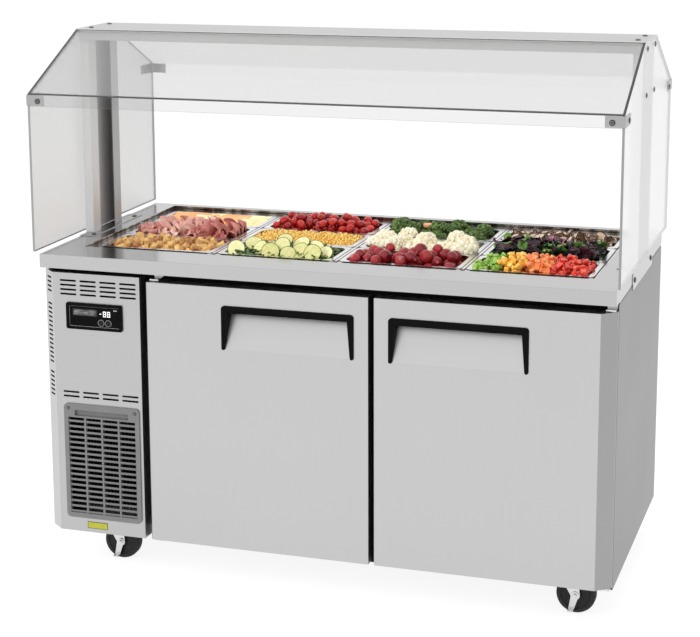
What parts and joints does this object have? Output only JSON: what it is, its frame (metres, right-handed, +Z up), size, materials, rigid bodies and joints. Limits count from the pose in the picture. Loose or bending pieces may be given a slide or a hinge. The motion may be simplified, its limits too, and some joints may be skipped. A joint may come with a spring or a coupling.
{
  "type": "mobile salad bar",
  "caption": "Refrigerated stainless salad bar on casters: doors and machine bay below, a recessed well of food pans above, and a double-sided glass sneeze guard.",
  "frame": {"origin": "on the floor, under the middle of the counter", "axes": "+X to the right seen from the doors, +Y to the back, +Z up; the doors face -Y"},
  "size_m": [1.53, 0.796, 1.422],
  "materials": {
    "steel_sheet": "fine brushed stainless sheet",
    "panel_sheet": "satin stainless sheet",
    "pan_steel": "satin drawn stainless",
    "bright_steel": "bright plated steel",
    "frame_steel": "galvanised",
    "foam_body": "white moulded liner",
    "breaker": "satin black",
    "grille_plastic": "satin dark grey",
    "black_gloss": "gloss black",
    "black_plastic": "satin black",
    "gasket_rubber": "matt black",
    "coil_metal": "plain",
    "fan_plastic": "matt black",
    "compressor_paint": "gloss black",
    "tray_plastic": "plain",
    "tyre": "matt black",
    "clear_glass": "clear toughened glass"
  },
  "bodies": {
    "cabinet": {"base_frame": "frame_steel", "insulated_body": "foam_body", "front_frame": "breaker", "side_panels": "steel_sheet", "rear_panel": "steel_sheet", "machine_panel": "panel_sheet", "intake_grille": "grille_plastic", "control_panel": "black_gloss", "condenser": "coil_metal", "fan_shroud": "frame_steel", "compressor": "compressor_paint", "compressor_feet": "gasket_rubber", "drain_tray": "tray_plastic", "evaporator": "steel_sheet", "shelf_supports": "bright_steel", "shelves": "bright_steel", "worktop": "steel_sheet", "well_liner": "pan_steel", "divider_bars": "pan_steel", "hinge_brackets": "bright_steel", "caster_plates": "bright_steel", "guard_feet": "steel_sheet", "guard_posts": "panel_sheet", "guard_beam": "steel_sheet", "sloped_glasses": "clear_glass", "end_glasses": "clear_glass", "corner_brackets": "steel_sheet", "screws": "bright_steel"},
    "up_button": {"up_button": "black_plastic"},
    "down_button": {"down_button": "black_plastic"},
    "fan": {"condenser_fan": "fan_plastic"},
    "left_door": {"door_left": "steel_sheet", "gasket_left": "gasket_rubber", "handle_left": "black_plastic"},
    "right_door": {"door_right": "steel_sheet", "gasket_right": "gasket_rubber", "handle_right": "black_plastic"},
    "pan_1a": {"pan_1a": "pan_steel"},
    "pan_1b": {"pan_1b": "pan_steel"},
    "pan_1c": {"pan_1c": "pan_steel"},
    "pan_2a": {"pan_2a": "pan_steel"},
    "pan_2b": {"pan_2b": "pan_steel"},
    "pan_2c": {"pan_2c": "pan_steel"},
    "pan_3a": {"pan_3a": "pan_steel"},
    "pan_3b": {"pan_3b": "pan_steel"},
    "pan_3c": {"pan_3c": "pan_steel"},
    "pan_4a": {"pan_4a": "pan_steel"},
    "pan_4b": {"pan_4b": "pan_steel"},
    "pan_4c": {"pan_4c": "pan_steel"},
    "fork_fl": {"fork_fl": "bright_steel"},
    "wheel_fl": {"wheel_fl": "tyre"},
    "fork_fr": {"fork_fr": "bright_steel"},
    "wheel_fr": {"wheel_fr": "tyre"},
    "fork_rl": {"fork_rl": "bright_steel"},
    "wheel_rl": {"wheel_rl": "tyre"},
    "fork_rr": {"fork_rr": "bright_steel"},
    "wheel_rr": {"wheel_rr": "tyre"},
    "brake_fl": {"brake_fl": "bright_steel"},
    "brake_fr": {"brake_fr": "bright_steel"}
  },
  "joints": [
    {"name": "left_door_hinge", "type": "hinge", "parent": "cabinet", "child": "left_door", "pos_m": [-0.438, -0.36, 0.458], "axis": [0, 0, -1], "range_deg": [0, 100], "stiffness_Nm_per_rad": 1.5, "springref_deg": -57.3},
    {"name": "right_door_hinge", "type": "hinge", "parent": "cabinet", "child": "right_door", "pos_m": [0.738, -0.35, 0.458], "axis": [0, 0, 1], "range_deg": [0, 100], "stiffness_Nm_per_rad": 1.5, "springref_deg": -57.3},
    {"name": "up_button_press", "type": "slide", "parent": "cabinet", "child": "up_button", "axis": [0, 1, 0], "range_m": [0, 0.0015], "stiffness_N_per_m": 400},
    {"name": "down_button_press", "type": "slide", "parent": "cabinet", "child": "down_button", "axis": [0, 1, 0], "range_m": [0, 0.0015], "stiffness_N_per_m": 400},
    {"name": "fan_spin", "type": "hinge", "parent": "cabinet", "child": "fan", "pos_m": [-0.605, -0.26, 0.31], "axis": [0, 1, 0], "continuous": true},
    {"name": "pan_1a_lift", "type": "slide", "parent": "cabinet", "child": "pan_1a", "axis": [0, 0, 1], "range_m": [0, 0.2]},
    {"name": "pan_1b_lift", "type": "slide", "parent": "cabinet", "child": "pan_1b", "axis": [0, 0, 1], "range_m": [0, 0.2]},
    {"name": "pan_1c_lift", "type": "slide", "parent": "cabinet", "child": "pan_1c", "axis": [0, 0, 1], "range_m": [0, 0.2]},
    {"name": "pan_2a_lift", "type": "slide", "parent": "cabinet", "child": "pan_2a", "axis": [0, 0, 1], "range_m": [0, 0.2]},
    {"name": "pan_2b_lift", "type": "slide", "parent": "cabinet", "child": "pan_2b", "axis": [0, 0, 1], "range_m": [0, 0.2]},
    {"name": "pan_2c_lift", "type": "slide", "parent": "cabinet", "child": "pan_2c", "axis": [0, 0, 1], "range_m": [0, 0.2]},
    {"name": "pan_3a_lift", "type": "slide", "parent": "cabinet", "child": "pan_3a", "axis": [0, 0, 1], "range_m": [0, 0.2]},
    {"name": "pan_3b_lift", "type": "slide", "parent": "cabinet", "child": "pan_3b", "axis": [0, 0, 1], "range_m": [0, 0.2]},
    {"name": "pan_3c_lift", "type": "slide", "parent": "cabinet", "child": "pan_3c", "axis": [0, 0, 1], "range_m": [0, 0.2]},
    {"name": "pan_4a_lift", "type": "slide", "parent": "cabinet", "child": "pan_4a", "axis": [0, 0, 1], "range_m": [0, 0.2]},
    {"name": "pan_4b_lift", "type": "slide", "parent": "cabinet", "child": "pan_4b", "axis": [0, 0, 1], "range_m": [0, 0.2]},
    {"name": "pan_4c_lift", "type": "slide", "parent": "cabinet", "child": "pan_4c", "axis": [0, 0, 1], "range_m": [0, 0.2]},
    {"name": "swivel_fl", "type": "hinge", "parent": "cabinet", "child": "fork_fl", "pos_m": [-0.62, -0.25, 0.11], "axis": [0, 0, 1], "continuous": true},
    {"name": "roll_fl", "type": "hinge", "parent": "fork_fl", "child": "wheel_fl", "pos_m": [-0.592, -0.25, 0.05], "axis": [0, 1, 0], "continuous": true},
    {"name": "swivel_fr", "type": "hinge", "parent": "cabinet", "child": "fork_fr", "pos_m": [0.62, -0.25, 0.11], "axis": [0, 0, 1], "continuous": true},
    {"name": "roll_fr", "type": "hinge", "parent": "fork_fr", "child": "wheel_fr", "pos_m": [0.648, -0.25, 0.05], "axis": [0, 1, 0], "continuous": true},
    {"name": "swivel_rl", "type": "hinge", "parent": "cabinet", "child": "fork_rl", "pos_m": [-0.62, 0.27, 0.11], "axis": [0, 0, 1], "continuous": true},
    {"name": "roll_rl", "type": "hinge", "parent": "fork_rl", "child": "wheel_rl", "pos_m": [-0.592, 0.27, 0.05], "axis": [0, 1, 0], "continuous": true},
    {"name": "swivel_rr", "type": "hinge", "parent": "cabinet", "child": "fork_rr", "pos_m": [0.62, 0.27, 0.11], "axis": [0, 0, 1], "continuous": true},
    {"name": "roll_rr", "type": "hinge", "parent": "fork_rr", "child": "wheel_rr", "pos_m": [0.648, 0.27, 0.05], "axis": [0, 1, 0], "continuous": true},
    {"name": "brake_lever_fl", "type": "hinge", "parent": "fork_fl", "child": "brake_fl", "pos_m": [-0.592, -0.274, 0.05], "axis": [0, 1, 0], "range_deg": [0, 25]},
    {"name": "brake_lever_fr", "type": "hinge", "parent": "fork_fr", "child": "brake_fr", "pos_m": [0.648, -0.274, 0.05], "axis": [0, 1, 0], "range_deg": [0, 25]}
  ]
}
